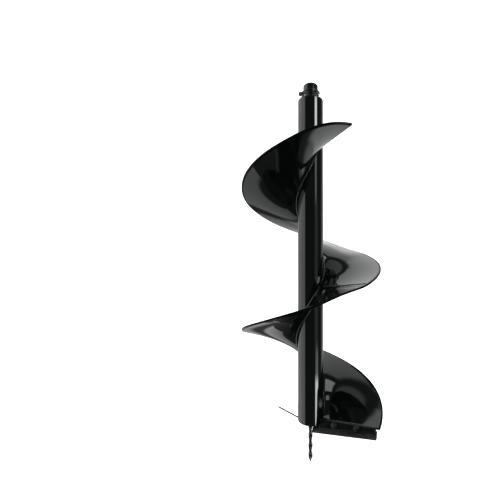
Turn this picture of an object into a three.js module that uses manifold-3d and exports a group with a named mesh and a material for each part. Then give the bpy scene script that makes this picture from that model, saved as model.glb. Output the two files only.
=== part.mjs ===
// Earth auger bit for a hand-held power drive: a 300 mm flighted screw on a 56 mm shaft.
// Millimetres, +Z up. The origin is the centre of the drive socket's mouth, on the auger's axis.
import * as THREE from 'three';
import { mergeVertices } from 'three/addons/utils/BufferGeometryUtils.js';
import Module from 'manifold-3d';

const wasm = await Module();
wasm.setup();

const GAP = 0.3;                       // room between pieces that touch on the real auger
const DEG = Math.PI / 180;

// Shaft and drive end
const SHAFT_RADIUS = 28;
const SHAFT_WALL = 3;
const SHAFT_TOP = -36;
const SHAFT_BOTTOM = -737;
const NECK_RADIUS = 16.2;
const BORE_RADIUS = 10.1;              // takes a 20 mm drive spindle
const SOCKET_LENGTH = 82;
const SHOULDER_TOP = -24;
const SHOULDER_TOP_RADIUS = 18.6;
const TUBE_BORE = SHAFT_RADIUS - SHAFT_WALL;

// Lock pin and its wire bail
const PIN_Z = -16;
const PIN_RADIUS = 3.9;
const PIN_HOLE_RADIUS = 4.2;
const PIN_TAIL_X = 17.6;
const HEAD_START_X = -16.8;
const HEAD_END_X = -26.4;
const HINGE_X = -22.5;
const BAIL_WIRE = 1.5;                 // wire radius
const BAIL_RADIUS = 21;

// Helical flight
const FLIGHT_RADIUS = 150;
const PITCH = 300;
const FLIGHT_DATUM_Z = -104;           // height of the inner edge where the angle is zero
const FLIGHT_TOP_ANGLE = -63.5;        // degrees, counted down the helix
const FLIGHT_BOTTOM_ANGLE = -750;
const SEAM_ANGLE = -407.7;
const SEAM_HALF_GAP = 0.15;            // degrees
const PLATE = 4;
const DISH = 13.6;                     // how much higher the rim stands than the root
const SPRING_ANGLE = -88;              // where the top end of the plate springs highest
const SPRING = 3.4;                    // how far the rim springs up there
const SPRING_SPAN = 30;                // degrees over which the spring dies out below
const SPRING_DROOP = 0.0157;           // fall per square degree towards the free end
const ROOT_SPRING = 6;                 // how far the root climbs above the helix at the free end
const ROOT_SPRING_SPAN = 45;           // degrees over which that dies out
const RIM_WAVES = [                    // where the pulled plate's rim waves: angle, rise, span
  [-310, -3.5, 28], [-430, 4.5, 24], [-605, 3.5, 28],
];
const FLARE_ANGLE = -718;              // where the rim stands out furthest, beside the blade
const FLARE = 4.5;
const FLARE_SPAN = 80;
const FLIGHT_STEP = 5;                 // degrees
const ROOT_RADIUS = SHAFT_RADIUS + GAP;
const ROOT_BEAD = 2.4;
const SEAM_BEAD = 2;

// Cutting end
const EDGE_START = new THREE.Vector3(1, -27, -750);   // inner end of the main cutting edge
const EDGE_PLAN_ANGLE = -27.7 * DEG;
const EDGE_RISE = 9.2 * DEG;
const BLADE_RAKE = 38 * DEG;
const BLADE_LENGTH = 137;
const BLADE_PLATE = 5;
const HOLDER_PLATE = 4;
const BLADE_BOLTS = [[50, 16], [98, 15]];             // along the edge, up from the edge
const BOLT_RADIUS = 3;
const HEX_RADIUS = 10 / Math.sqrt(3);
const SHORT_BLADE_REACH = 81;
const SHORT_BLADE_RAKE = 36.5 * DEG;
const SHORT_BLADE_PLATE = 3;

// Pilot
const PILOT_TIP = -830;
const PILOT_WIDTH = 9.4;
const PILOT_THICKNESS = 6;
const PILOT_TWIST_LENGTH = 44;         // one full turn
const COLLAR_BOTTOM = -749;

const auger = new THREE.Group();

function paint(color, roughness, metalness) {
  return new THREE.MeshStandardMaterial({ color, roughness, metalness });
}

const blackEnamel = () => paint(0x101312, 0.25, 0.1);
const weldEnamel = () => paint(0x141716, 0.4, 0.1);
const bladeSteel = () => paint(0x1b1e1e, 0.4, 0.3);
const zincSteel = () => paint(0x8c8f90, 0.4, 0.9);
const darkSteel = () => paint(0x2a2b2c, 0.45, 0.8);

function place(name, geometry, material, parent = auger) {
  const mesh = new THREE.Mesh(geometry, material);
  mesh.name = name;
  parent.add(mesh);
  return mesh;
}

// ---- Solids -----------------------------------------------------------------------------

function toSolid(geometry) {
  const bare = geometry.clone();
  bare.deleteAttribute('normal');
  bare.deleteAttribute('uv');
  const merged = mergeVertices(bare, 1e-4);
  return new wasm.Manifold(new wasm.Mesh({
    numProp: 3,
    vertProperties: new Float32Array(merged.attributes.position.array),
    triVerts: new Uint32Array(merged.index.array),
  }));
}

function toGeometry(solid) {
  const mesh = solid.getMesh();
  const geometry = new THREE.BufferGeometry();
  geometry.setAttribute('position', new THREE.BufferAttribute(mesh.vertProperties, 3));
  geometry.setIndex(new THREE.BufferAttribute(mesh.triVerts, 1));
  geometry.computeVertexNormals();
  return geometry;
}

// A body turned about the Z axis. The profile lists radius and height, and closes on itself.
function turned(profile, segments = 48) {
  const points = [...profile, profile[0]].map(([r, z]) => new THREE.Vector2(r, z));
  const geometry = new THREE.LatheGeometry(points, segments);
  return geometry.rotateX(Math.PI / 2);
}

function ring(inner, outer, bottom, top, segments = 48) {
  return turned([[inner, bottom], [outer, bottom], [outer, top], [inner, top]], segments);
}

// A round rod between two points
function rod(from, to, radius, segments = 24) {
  const along = new THREE.Vector3().subVectors(to, from);
  const geometry = new THREE.CylinderGeometry(radius, radius, along.length(), segments);
  const turn = new THREE.Quaternion().setFromUnitVectors(
    new THREE.Vector3(0, 1, 0), along.clone().normalize());
  const middle = new THREE.Vector3().addVectors(from, to).multiplyScalar(0.5);
  return geometry.applyQuaternion(turn).translate(middle.x, middle.y, middle.z);
}

// A body through a row of closed sections, each with the same number of points in turn.
function lofted(sections) {
  const count = sections[0].length;
  const positions = sections.flat().flatMap((p) => [p.x, p.y, p.z]);
  const faces = [];
  for (let row = 0; row < sections.length - 1; row++) {
    for (let i = 0; i < count; i++) {
      const a = row * count + i;
      const b = row * count + (i + 1) % count;
      faces.push(a, b, b + count, a, b + count, a + count);
    }
  }
  const last = (sections.length - 1) * count;
  for (let i = 1; i < count - 1; i++) {
    faces.push(0, i + 1, i);
    faces.push(last, last + i, last + i + 1);
  }
  const geometry = new THREE.BufferGeometry();
  geometry.setAttribute('position', new THREE.Float32BufferAttribute(positions, 3));
  geometry.setIndex(faces);
  geometry.computeVertexNormals();
  return geometry;
}

// A round wire or bead along a curve
function alongCurve(curve, radius, steps, sides = 8) {
  const section = new THREE.Shape();
  for (let i = 0; i < sides; i++) {
    const angle = (i / sides) * 2 * Math.PI;
    const x = radius * Math.cos(angle);
    const y = radius * Math.sin(angle);
    if (i === 0) section.moveTo(x, y);
    else section.lineTo(x, y);
  }
  section.closePath();
  return new THREE.ExtrudeGeometry(section, { steps, extrudePath: curve, bevelEnabled: false });
}

// A flat plate: its outline lies in XY and its thickness runs up from the given height.
function plate(outline, bottom, thickness, holes = []) {
  const shape = new THREE.Shape(outline.map(([x, y]) => new THREE.Vector2(x, y)));
  for (const [x, y, radius] of holes) {
    const hole = new THREE.Path();
    hole.absarc(x, y, radius, 0, 2 * Math.PI, true);
    shape.holes.push(hole);
  }
  const options = { depth: thickness, bevelEnabled: false, curveSegments: 12 };
  return new THREE.ExtrudeGeometry(shape, options).translate(0, 0, bottom);
}

function hexagon(radius) {
  return Array.from({ length: 6 }, (_, i) => {
    const angle = (i + 0.5) * 60 * DEG;
    return [radius * Math.cos(angle), radius * Math.sin(angle)];
  });
}

// ---- Shaft and drive end ----------------------------------------------------------------

function buildShaft() {
  place('shaft_tube', ring(TUBE_BORE, SHAFT_RADIUS, SHAFT_BOTTOM, SHAFT_TOP, 64), blackEnamel());

  const lead = 1.2;                    // chamfer of the bore at the socket's mouth
  const rimEase = 0.7;                 // chamfer round the neck's rim
  const socketBody = turned([
    [BORE_RADIUS, -SOCKET_LENGTH], [NECK_RADIUS, -SOCKET_LENGTH], [NECK_RADIUS, -rimEase],
    [NECK_RADIUS - rimEase, 0], [BORE_RADIUS + lead, 0], [BORE_RADIUS, -lead],
  ]);
  const reach = NECK_RADIUS + 5;
  const crossHole = rod(
    new THREE.Vector3(-reach, 0, PIN_Z), new THREE.Vector3(reach, 0, PIN_Z), PIN_HOLE_RADIUS);
  const socket = toSolid(socketBody).subtract(toSolid(crossHole));
  place('drive_socket', toGeometry(socket), blackEnamel());

  const inner = NECK_RADIUS + GAP;
  const spigot = TUBE_BORE - GAP;
  place('shoulder_cone', turned([
    [inner, SHOULDER_TOP], [inner, SHAFT_TOP - 10], [spigot, SHAFT_TOP - 10],
    [spigot, SHAFT_TOP + GAP], [SHAFT_RADIUS, SHAFT_TOP + GAP],
    [SHAFT_RADIUS, SHAFT_TOP + 1.5], [SHOULDER_TOP_RADIUS, SHOULDER_TOP],
  ], 64), blackEnamel());

  const beadHeight = 3.4;
  place('neck_weld', turned([
    [inner, SHOULDER_TOP + GAP], [SHOULDER_TOP_RADIUS, SHOULDER_TOP + GAP],
    [SHOULDER_TOP_RADIUS, SHOULDER_TOP + GAP + 1.2],
    [inner + 1.6, SHOULDER_TOP + GAP + beadHeight - 0.6],
    [inner, SHOULDER_TOP + GAP + beadHeight],
  ]), weldEnamel());

  const ringTop = -64;
  place('centring_ring', ring(inner, spigot, ringTop - 8, ringTop), darkSteel());
}

// ---- Lower end of the shaft: plug, collar and twisted pilot --------------------------------

function buildPilot() {
  const shank = 4.9;
  const hole = shank + GAP;
  place('end_plug', ring(hole, TUBE_BORE - GAP, SHAFT_BOTTOM, SHAFT_BOTTOM + 14), blackEnamel());
  const collarTop = SHAFT_BOTTOM - GAP;
  place('pilot_collar', turned([
    [hole, COLLAR_BOTTOM], [hole + 3, COLLAR_BOTTOM], [10.5, collarTop - 3],
    [10.5, collarTop], [hole, collarTop],
  ], 32), blackEnamel());

  const shankBottom = COLLAR_BOTTOM - 1.5;
  const pointTop = PILOT_TIP + 10;
  const twistAt = (z) => ((shankBottom - z) / PILOT_TWIST_LENGTH) * 2 * Math.PI;
  const barSection = (z, scale, flatness) => {
    const turn = twistAt(z);
    return Array.from({ length: 12 }, (_, i) => {
      const angle = (i / 12) * 2 * Math.PI;
      const x = Math.cos(angle) * THREE.MathUtils.lerp(shank, PILOT_WIDTH / 2, flatness) * scale;
      const y = Math.sin(angle)
        * THREE.MathUtils.lerp(shank, PILOT_THICKNESS / 2, flatness) * scale;
      return new THREE.Vector3(
        x * Math.cos(turn) - y * Math.sin(turn), x * Math.sin(turn) + y * Math.cos(turn), z);
    });
  };
  const sections = [barSection(PILOT_TIP, 0.25, 1)];
  for (let z = pointTop; z < shankBottom - 4; z += 2.5) sections.push(barSection(z, 1, 1));
  sections.push(barSection(shankBottom, 1, 0));
  sections.push(barSection(SHAFT_BOTTOM + 16, 1, 0));
  place('pilot_point', lofted(sections), darkSteel());
}

// ---- Lock pin and bail ----------------------------------------------------------------------

function buildLockPin() {
  const tail = toSolid(rod(new THREE.Vector3(HEAD_START_X - 1, 0, PIN_Z),
    new THREE.Vector3(PIN_TAIL_X, 0, PIN_Z), PIN_RADIUS));
  const headHeight = 4.6;
  const headWidth = 10;
  const headLength = HEAD_START_X - HEAD_END_X;
  const head = new THREE.BoxGeometry(headLength, headWidth, headHeight)
    .translate((HEAD_START_X + HEAD_END_X) / 2, 0, PIN_Z);
  const hingeHole = rod(new THREE.Vector3(HINGE_X, 0, PIN_Z - 10),
    new THREE.Vector3(HINGE_X, 0, PIN_Z + 10), BAIL_WIRE + 0.35);
  const pin = tail.add(toSolid(head)).subtract(toSolid(hingeHole));
  place('lock_pin', toGeometry(pin), zincSteel());

  // The wire rises through the head, then runs under it and round the front of the neck.
  const below = PIN_Z - headHeight / 2 - BAIL_WIRE - 1.2;
  const arcX = HINGE_X + BAIL_RADIUS;
  const points = [
    new THREE.Vector3(HINGE_X, 0, PIN_Z + headHeight / 2 + 3),
    new THREE.Vector3(HINGE_X, 0, PIN_Z),
    new THREE.Vector3(HINGE_X, 0, PIN_Z - headHeight / 2),
    new THREE.Vector3(HINGE_X, -1.4, below + 0.3),
  ];
  for (let angle = 190; angle <= 358; angle += 12) {
    const rise = (angle - 180) / 180;
    points.push(new THREE.Vector3(
      arcX + BAIL_RADIUS * Math.cos(angle * DEG), BAIL_RADIUS * Math.sin(angle * DEG),
      THREE.MathUtils.lerp(below, PIN_Z, rise)));
  }
  const path = new THREE.CatmullRomCurve3(points, false, 'centripetal');
  place('lock_bail', alongCurve(path, BAIL_WIRE, 48, 10), zincSteel());
}

// ---- Helical flight -------------------------------------------------------------------------

// 1 at the middle of a wave, easing to 0 a span away on either side.
function swell(angle, middle, span) {
  const past = Math.min(1, Math.abs(angle - middle) / span);
  return Math.cos(past * Math.PI / 2) ** 2;
}

// How much higher the rim stands than the root. The plate's free top end keeps a little of the
// flat blank that it was pulled from.
function dishAt(angle) {
  const past = angle - SPRING_ANGLE;
  const spring = past >= 0
    ? SPRING - SPRING_DROOP * past * past : SPRING * swell(angle, SPRING_ANGLE, SPRING_SPAN);
  return RIM_WAVES.reduce(
    (rise, [middle, height, span]) => rise + height * swell(angle, middle, span), DISH + spring);
}

const rimAt = (angle) => FLIGHT_RADIUS + FLARE * swell(angle, FLARE_ANGLE, FLARE_SPAN);

function flightZ(radius, angle) {
  const share = (radius - SHAFT_RADIUS) / (FLIGHT_RADIUS - SHAFT_RADIUS);
  const root = ROOT_SPRING * swell(angle, FLIGHT_TOP_ANGLE, ROOT_SPRING_SPAN);
  return FLIGHT_DATUM_Z + PITCH * angle / 360 + dishAt(angle) * share + root * (1 - share);
}

// A height measured square to the sloping plate, turned into a vertical one.
function steep(radius, angle) {
  const rise = flightZ(radius, angle + 1) - flightZ(radius, angle - 1);
  return Math.hypot(1, rise / (2 * DEG * radius));
}

function onFlight(radius, angle, lift) {
  return new THREE.Vector3(radius * Math.cos(angle * DEG), radius * Math.sin(angle * DEG),
    flightZ(radius, angle) + lift * steep(radius, angle));
}

class RootCurve extends THREE.Curve {
  constructor(from, to) {
    super();
    this.from = from;
    this.to = to;
  }

  getPoint(t, target = new THREE.Vector3()) {
    const angle = THREE.MathUtils.lerp(this.from, this.to, t);
    const radius = ROOT_RADIUS + ROOT_BEAD;
    return target.copy(onFlight(radius, angle, PLATE / 2 + GAP + ROOT_BEAD + 0.3));
  }
}

function buildFlight(name, top, bottom) {
  const steps = Math.round((top - bottom) / FLIGHT_STEP);
  const sections = [];
  for (let i = 0; i <= steps; i++) {
    const angle = THREE.MathUtils.lerp(bottom, top, i / steps);
    const radii = [ROOT_RADIUS, 60, 100, rimAt(angle)];
    const under = radii.map((radius) => onFlight(radius, angle, -PLATE / 2));
    const over = radii.map((radius) => onFlight(radius, angle, PLATE / 2));
    sections.push([...over, ...under.reverse()]);
  }
  place(`flight_${name}`, lofted(sections), blackEnamel());

  const margin = 4;                    // the bead starts and stops short of the plate's ends
  const curve = new RootCurve(bottom + margin, top - margin);
  place(`root_weld_${name}`, alongCurve(curve, ROOT_BEAD, 60), weldEnamel());
}

function buildFlights() {
  buildFlight('upper', FLIGHT_TOP_ANGLE, SEAM_ANGLE + SEAM_HALF_GAP);
  buildFlight('lower', SEAM_ANGLE - SEAM_HALF_GAP, FLIGHT_BOTTOM_ANGLE);
  const lift = PLATE / 2 + SEAM_BEAD + 0.5;
  const inner = onFlight(SHAFT_RADIUS + 11, SEAM_ANGLE, lift);
  const outer = onFlight(FLIGHT_RADIUS - 3, SEAM_ANGLE, lift);
  const middle = onFlight((SHAFT_RADIUS + FLIGHT_RADIUS) / 2, SEAM_ANGLE, lift);
  const seam = new THREE.CatmullRomCurve3([inner, middle, outer]);
  place('flight_seam_weld', alongCurve(seam, SEAM_BEAD, 10), weldEnamel());
}

// ---- Cutting end ------------------------------------------------------------------------------

// A group whose X runs out along a cutting edge, Y up the blade's face and Z out of the face.
function bladeFrame(start, planAngle, rise, rake) {
  const along = new THREE.Vector3(
    Math.cos(planAngle) * Math.cos(rise), Math.sin(planAngle) * Math.cos(rise), Math.sin(rise));
  const back = new THREE.Vector3(
    -Math.sin(planAngle) * Math.cos(rake), Math.cos(planAngle) * Math.cos(rake), Math.sin(rake));
  back.addScaledVector(along, -back.dot(along)).normalize();
  const out = new THREE.Vector3().crossVectors(along, back);
  const group = new THREE.Group();
  group.matrixAutoUpdate = false;
  group.matrix.makeBasis(along, back, out).setPosition(start);
  auger.add(group);
  return group;
}

// How far up the main blade's face the flight's square end stands
const flightEndAt = (along) => 28.9 - 0.0625 * (along - 18.2);

// Takes the underside of the edge away, so that the plate ends in a chisel.
function chisel(geometry, length, thickness, bevel) {
  const land = 0.8;                    // flat left at the edge
  const wedge = new THREE.Shape([
    new THREE.Vector2(-1, -land), new THREE.Vector2(0, -land),
    new THREE.Vector2(bevel, -thickness), new THREE.Vector2(bevel, -thickness - 2),
    new THREE.Vector2(-1, -thickness - 2),
  ]);
  const cutter = new THREE.ExtrudeGeometry(wedge, { depth: length + 4, bevelEnabled: false });
  const basis = new THREE.Matrix4().makeBasis(
    new THREE.Vector3(0, 1, 0), new THREE.Vector3(0, 0, 1), new THREE.Vector3(1, 0, 0));
  cutter.applyMatrix4(basis).translate(-2, 0, 0);
  return toSolid(geometry).subtract(toSolid(cutter));
}

// A piece in a blade's frame, cut clear of the shaft's lower end
function clearOfShaft(solid, frame) {
  const room = GAP + 0.2;
  const shaft = ring(1, SHAFT_RADIUS + room, SHAFT_BOTTOM - room, SHAFT_BOTTOM + 60, 64);
  const toFrame = frame.matrix.clone().invert();
  return toGeometry(solid.subtract(toSolid(shaft.applyMatrix4(toFrame))));
}

function buildMainBlade() {
  const frame = bladeFrame(EDGE_START, EDGE_PLAN_ANGLE, EDGE_RISE, BLADE_RAKE);
  const shaftSide = 16;                // where the plates tuck in against the shaft
  const holes = BLADE_BOLTS.map(([x, y]) => [x, y, BOLT_RADIUS + 0.4]);
  const bladeBack = (x) => flightEndAt(x) - 4;
  const holderBack = (x) => flightEndAt(x) - 1.8;

  const bladeOutline = [
    [0, 0], [BLADE_LENGTH, 0], [BLADE_LENGTH, bladeBack(BLADE_LENGTH)],
    [shaftSide, bladeBack(shaftSide)], [0, 12],
  ];
  const blade = plate(bladeOutline, -BLADE_PLATE, BLADE_PLATE, holes);
  const ground = chisel(blade, BLADE_LENGTH, BLADE_PLATE, 7);
  place('main_blade', clearOfShaft(ground, frame), bladeSteel(), frame);

  const holderEnd = BLADE_LENGTH - 1;
  const holderOutline = [
    [shaftSide, 7.5], [holderEnd, 11], [holderEnd, holderBack(holderEnd)],
    [shaftSide, holderBack(shaftSide)],
  ];
  const holder = toSolid(plate(holderOutline, GAP, HOLDER_PLATE, holes));
  place('blade_holder', clearOfShaft(holder, frame), blackEnamel(), frame);

  BLADE_BOLTS.forEach(([x, y], index) => {
    const spot = new THREE.Group();
    spot.position.set(x, y, 0);
    frame.add(spot);
    buildBladeBolt(spot, index + 1);
  });
}

function buildBladeBolt(spot, number) {
  const headTop = -BLADE_PLATE - GAP;
  const headHeight = 4;
  const washerBottom = GAP + HOLDER_PLATE + GAP;
  const nutBottom = washerBottom + 1.6 + GAP;
  const nutHeight = 5;
  const threadEnd = nutBottom + nutHeight + 2;
  const head = toSolid(plate(hexagon(HEX_RADIUS), headTop - headHeight, headHeight));
  const shankFrom = new THREE.Vector3(0, 0, headTop - headHeight / 2);
  const shank = toSolid(rod(shankFrom, new THREE.Vector3(0, 0, threadEnd), BOLT_RADIUS));
  place(`blade_bolt_${number}`, toGeometry(head.add(shank)), darkSteel(), spot);
  place(`blade_washer_${number}`,
    ring(BOLT_RADIUS + GAP, 6.2, washerBottom, washerBottom + 1.6, 32), darkSteel(), spot);
  const nut = plate(hexagon(HEX_RADIUS), nutBottom, nutHeight, [[0, 0, BOLT_RADIUS + GAP]]);
  place(`blade_nut_${number}`, nut, darkSteel(), spot);
}

function buildShortBlade() {
  const planAngle = 150 * DEG;
  const rise = 10.9 * DEG;
  const halfWidth = 12;
  const innerReach = 24;
  const start = new THREE.Vector3(
    innerReach * Math.cos(planAngle), innerReach * Math.sin(planAngle), -742.5);
  const frame = bladeFrame(start, planAngle, rise, SHORT_BLADE_RAKE);
  const length = (SHORT_BLADE_REACH - innerReach) / Math.cos(rise);
  const outline = [
    [0, 0], [length - 5, 0], [length, 5], [length, 2 * halfWidth], [0, 2 * halfWidth],
  ];
  const thickness = SHORT_BLADE_PLATE;
  const ground = chisel(plate(outline, -thickness, thickness), length, thickness, 5);
  const centred = toGeometry(ground).translate(0, -halfWidth, thickness / 2);
  place('short_blade', clearOfShaft(toSolid(centred), frame), bladeSteel(), frame);
}

buildShaft();
buildPilot();
buildLockPin();
buildFlights();
buildMainBlade();
buildShortBlade();

export default auger;
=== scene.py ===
"""The looks of a soil auger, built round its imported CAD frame.

Metres, +Z up, with the origin in the middle of the drive socket's mouth.
"""

import math

import bmesh
import bpy
from mathutils import Matrix, Vector, noise


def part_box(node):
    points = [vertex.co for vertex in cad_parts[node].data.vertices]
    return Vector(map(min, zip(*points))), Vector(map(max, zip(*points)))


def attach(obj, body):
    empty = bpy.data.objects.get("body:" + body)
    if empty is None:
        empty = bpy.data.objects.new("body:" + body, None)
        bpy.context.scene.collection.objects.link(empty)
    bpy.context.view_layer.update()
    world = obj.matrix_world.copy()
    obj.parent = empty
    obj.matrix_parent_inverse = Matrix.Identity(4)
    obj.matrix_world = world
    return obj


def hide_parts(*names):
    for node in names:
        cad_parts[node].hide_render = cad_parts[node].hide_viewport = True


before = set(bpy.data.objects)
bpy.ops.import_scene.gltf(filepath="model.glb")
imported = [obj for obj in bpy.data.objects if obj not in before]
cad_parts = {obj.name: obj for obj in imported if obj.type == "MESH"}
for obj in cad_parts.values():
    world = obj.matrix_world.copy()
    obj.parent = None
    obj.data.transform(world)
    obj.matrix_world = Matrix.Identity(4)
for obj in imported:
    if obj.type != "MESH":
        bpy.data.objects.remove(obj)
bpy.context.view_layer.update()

MM = 0.001
TAU = 2 * math.pi

# ---- Sizes from the frame, and the few that its boxes don't give -------------------------------

shaft_low, shaft_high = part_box("shaft_tube")
socket_low, socket_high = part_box("drive_socket")
plug_low, plug_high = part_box("end_plug")
pilot_low, pilot_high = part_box("pilot_point")
collar_low, collar_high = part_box("pilot_collar")
cone_low, cone_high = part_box("shoulder_cone")
neck_weld_low, neck_weld_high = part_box("neck_weld")
ring_low, ring_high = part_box("centring_ring")
pin_low, pin_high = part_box("lock_pin")

SHAFT_RADIUS = shaft_high[0]
NECK_RADIUS = socket_high[0]
SHAFT_WALL = 3 * MM
TUBE_BORE = SHAFT_RADIUS - SHAFT_WALL
BORE_RADIUS = 10.1 * MM
BORE_LEAD = 1.2 * MM           # chamfer at the bore's mouth
SOCKET_RIM_EASE = 0.7 * MM     # chamfer at the neck's rim
SHOULDER_TOP_RADIUS = 18.6 * MM
SHOULDER_STEP = 1.2 * MM       # straight part below the shoulder's slope
GAP = 0.3 * MM                 # room between neighbouring pieces

# ---- Pilot point -------------------------------------------------------------------------------

PILOT_SHANK = 4.9 * MM
PILOT_HALF_WIDTH = 4.7 * MM
PILOT_HALF_THICK = 3 * MM
PILOT_TURN = 44 * MM           # length of one turn of the twist
PILOT_TIP = 10 * MM            # length of the tapering nose
PILOT_BLEND = 6 * MM           # length over which the round shank becomes a bar
PILOT_BAR_TOP = collar_low[2] - 1.5 * MM
PILOT_CORNER = 0.55            # 1 is an ellipse, less is squarer

# ---- Helical flight, as in the CAD source ------------------------------------------------------

FLIGHT_RADIUS = 150 * MM
ROOT_RADIUS = SHAFT_RADIUS + 0.05 * MM
PITCH = 300 * MM
FLIGHT_DATUM_Z = -104 * MM
FLIGHT_TOP_ANGLE = -63.5
FLIGHT_BOTTOM_ANGLE = -750.0
SEAM_ANGLE = -407.7
PLATE = 4 * MM
DISH = 13.6 * MM               # how much higher the rim stands than the root
SPRING_ANGLE = -88.0           # where the rim of the cut top end springs up most
SPRING = 3.4 * MM
SPRING_SPAN = 30.0
SPRING_DROOP = 0.0157 * MM     # fall towards the end, per square degree
ROOT_SPRING = 6 * MM           # how much the root of the top end springs up
ROOT_SPRING_SPAN = 45.0
RIM_WAVES = ((-310, -3.5 * MM, 28), (-430, 4.5 * MM, 24), (-605, 3.5 * MM, 28))  # angle, height, span
FLARE_ANGLE = -718.0           # where the rim reaches out most
FLARE = 4.5 * MM
FLARE_SPAN = 80.0
WAVINESS = 0.9 * MM            # unevenness of the pressed plate at its rim
WAVES_PER_METRE = 9
RIM_BAND = 3.4 * MM            # width of the dull paint along the sheared rim
ROOT_BEAD = 2.9 * MM
SEAM_BEAD = 1.3 * MM

# ---- Lock pin and bail -------------------------------------------------------------------------

PIN_RADIUS = 3.9 * MM
PIN_HOLE_RADIUS = 4.2 * MM
PIN_Z = -16 * MM
PIN_HEAD_START = -16.8 * MM
PIN_HEAD_HEIGHT = 4.6 * MM
PIN_HEAD_HALF_WIDTH = 5 * MM
HINGE_X = -22.5 * MM
WIRE = 1.5 * MM
BAIL_RADIUS = 21 * MM

# ---- Cutting end -------------------------------------------------------------------------------

EDGE_START = Vector((1 * MM, -27 * MM, -750 * MM))
EDGE_PLAN_ANGLE = math.radians(-27.7)
EDGE_RISE = math.radians(9.2)
BLADE_RAKE = math.radians(38)
BLADE_LENGTH = 137 * MM
BLADE_PLATE = 5 * MM
BLADE_SHAFT_SIDE = 16 * MM
HOLDER_PLATE = 4 * MM
HOLDER_LENGTH = BLADE_LENGTH - 1 * MM
FLIGHT_END_HEIGHT = 28.9 * MM  # the flight's square end above the blade's edge, at its start
FLIGHT_END_START = 18.2 * MM
FLIGHT_END_FALL = 0.0625       # how much lower it gets per metre along the edge
BLADE_BOLTS = ((50 * MM, 16 * MM), (98 * MM, 15 * MM))  # along the edge, up the face
BOLT_RADIUS = 3 * MM
THREAD_PITCH = 1 * MM
THREAD_DEPTH = 0.32 * MM
HEX_ACROSS_FLATS = 10 * MM
BOLT_HEAD_HEIGHT = 4 * MM
NUT_HEIGHT = 5 * MM
WASHER_HEIGHT = 1.6 * MM
WASHER_RADIUS = 6.2 * MM

SHORT_PLAN_ANGLE = math.radians(150)
SHORT_RISE = math.radians(10.9)
SHORT_RAKE = math.radians(36.5)
SHORT_PLATE = 3 * MM
SHORT_INNER_REACH = 24 * MM
SHORT_REACH = 81 * MM
SHORT_HALF_WIDTH = 12 * MM
SHORT_CORNER = 5 * MM
SHORT_Z = -742.5 * MM

# ---- Stage and camera --------------------------------------------------------------------------

FLOOR_Z = -1.02
FLOOR_CURVE = 1.4
FLOOR_FRONT = -9.0
FLOOR_BACK = 3.2
FLOOR_TOP = 7.0
FLOOR_HALF_WIDTH = 14.0
CAMERA_PLACE = (-0.0264, -0.6266, -0.3935)
CAMERA_LENS = 20.35
CAMERA_SHIFT_X = -0.0972
CAMERA_SHIFT_Y = 0.0287


# ---- Materials ---------------------------------------------------------------------------------


def add_node(tree, kind, **settings):
    """A new shader node with its properties set."""
    made = tree.nodes.new(kind)
    for key, value in settings.items():
        setattr(made, key, value)
    return made


def new_material(name):
    """A material with a Principled shader: returns the material, its tree and the shader."""
    material = bpy.data.materials.new(name)
    material.use_nodes = True
    tree = material.node_tree
    return material, tree, tree.nodes["Principled BSDF"]


def object_noise(tree, scale, detail=3.0, roughness=0.5, stretch=None):
    """Noise in object space, at a scale per metre. stretch squeezes it along an axis."""
    place = add_node(tree, "ShaderNodeTexCoord")
    texture = add_node(tree, "ShaderNodeTexNoise")
    texture.inputs["Scale"].default_value = scale
    texture.inputs["Detail"].default_value = detail
    texture.inputs["Roughness"].default_value = roughness
    if stretch is None:
        tree.links.new(place.outputs["Object"], texture.inputs["Vector"])
    else:
        mapping = add_node(tree, "ShaderNodeMapping")
        mapping.inputs["Scale"].default_value = stretch
        tree.links.new(place.outputs["Object"], mapping.inputs["Vector"])
        tree.links.new(mapping.outputs["Vector"], texture.inputs["Vector"])
    return texture.outputs["Fac"]


def spread(tree, value, low, high, from_low=0.3, from_high=0.7):
    """Maps a value that varies over the surface onto a range."""
    fit = add_node(tree, "ShaderNodeMapRange")
    fit.inputs["From Min"].default_value = from_low
    fit.inputs["From Max"].default_value = from_high
    fit.inputs["To Min"].default_value = low
    fit.inputs["To Max"].default_value = high
    tree.links.new(value, fit.inputs["Value"])
    return fit.outputs["Result"]


def blend_colours(tree, factor, first, second):
    """Mixes two colours, each of them plain numbers or another node's output."""
    mix = add_node(tree, "ShaderNodeMix", data_type="RGBA")
    colour_inputs = [socket for socket in mix.inputs if socket.type == "RGBA"]
    for socket, colour in zip(colour_inputs, (first, second)):
        if isinstance(colour, tuple):
            socket.default_value = (*colour, 1)
        else:
            tree.links.new(colour, socket)
    tree.links.new(factor, mix.inputs["Factor"])
    return next(out for out in mix.outputs if out.type == "RGBA")


def combine(tree, operation, first, second=0):
    """A sum on two values, each of them a number or another node's output."""
    maths = add_node(tree, "ShaderNodeMath", operation=operation)
    for socket, value in zip(maths.inputs, (first, second)):
        if isinstance(value, (int, float)):
            socket.default_value = value
        else:
            tree.links.new(value, socket)
    return maths.outputs[0]


def worn_edges_and_highlight(tree):
    """How worn the paint is, and how much painted highlight lightens it, from the mesh's own per-point
    attribute broken up by noise.
    """
    wear_and_highlight = add_node(tree, "ShaderNodeAttribute", attribute_name="wear_and_highlight")
    broken = object_noise(tree, 900, 4)
    return combine(tree, "MULTIPLY", wear_and_highlight.outputs["Fac"], spread(tree, broken, 0, 1, 0.42, 0.6))


def bump(tree, shader, heights):
    """Chains bumps: each is a height value, its strength and its depth in metres."""
    previous = None
    for height, strength, distance in heights:
        made = add_node(tree, "ShaderNodeBump")
        made.inputs["Strength"].default_value = strength
        made.inputs["Distance"].default_value = distance
        tree.links.new(height, made.inputs["Height"])
        if previous is not None:
            tree.links.new(previous.outputs["Normal"], made.inputs["Normal"])
        previous = made
    tree.links.new(previous.outputs["Normal"], shader.inputs["Normal"])


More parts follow.
